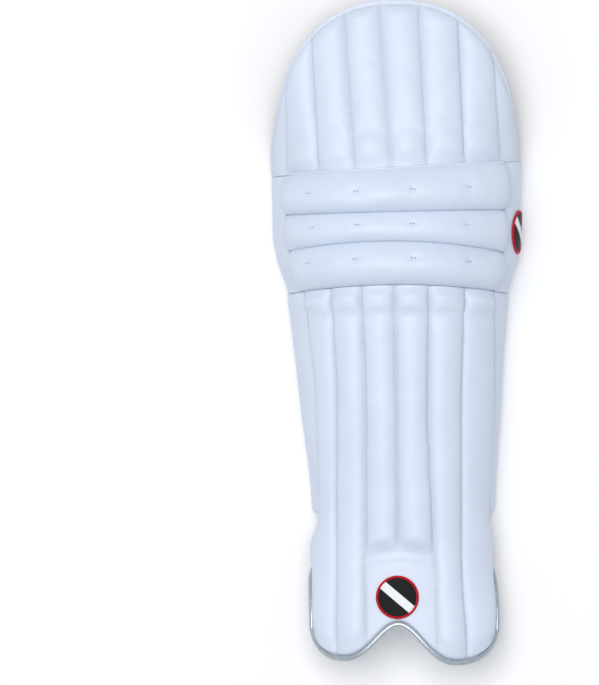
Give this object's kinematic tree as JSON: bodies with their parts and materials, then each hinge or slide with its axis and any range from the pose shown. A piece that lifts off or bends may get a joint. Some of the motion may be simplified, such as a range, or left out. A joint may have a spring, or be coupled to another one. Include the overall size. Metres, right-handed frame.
{
  "type": "cricket batting pad",
  "caption": "Padded leg guard for batting: a ribbed shin face and domed thigh top, knee rolls, side wings, inner cushions and elastic straps joined by oval rings.",
  "frame": {"origin": "on the floor under the middle of the pad, which lies on its back", "axes": "+X to the outer side of the left leg, +Y from the toe to the top of the pad, +Z from the floor to the ribbed front"},
  "size_m": [0.2762, 0.721, 0.1368],
  "materials": {
    "white_leather": "white synthetic leather, satin",
    "white_lining": "white synthetic lining, satin",
    "black_print": "black printed lining",
    "red_print": "red printed lining",
    "red_mesh": "red and white open mesh",
    "webbing": "white elastic webbing with coloured stripes",
    "patch_print": "white sewn panel",
    "ring_plastic": "white moulded plastic",
    "silver_piping": "silver piping",
    "badge_rubber": "moulded soft badge"
  },
  "bodies": {
    "root": {"top_hat": "white_leather", "top_hat_lining": "black_print", "knee_roll_lower": "white_leather", "knee_roll_middle": "white_leather", "knee_roll_upper": "white_leather", "knee_side_roll_inner": "white_leather", "knee_side_roll_outer": "white_leather", "shin_face": "white_leather", "wing_inner": "white_leather", "wing_outer": "white_leather", "toe_piping": "silver_piping", "back_lining": "white_lining", "knee_cushion_outer": "white_leather", "knee_cushion_centre": "red_print", "knee_cushion_inner": "white_leather", "shin_bolster_outer": "red_mesh", "shin_bolster_inner": "red_mesh", "shin_strip": "black_print", "knee_strap": "webbing", "knee_strap_tab": "webbing", "knee_strap_ring": "ring_plastic", "calf_strap": "webbing", "calf_strap_tab": "webbing", "calf_strap_ring": "ring_plastic", "ankle_strap": "webbing", "ankle_strap_tab": "webbing", "ankle_strap_ring": "ring_plastic", "calf_strap_patch": "patch_print", "shin_badge": "badge_rubber", "hat_badge": "badge_rubber", "side_badge": "badge_rubber"}
  },
  "joints": []
}
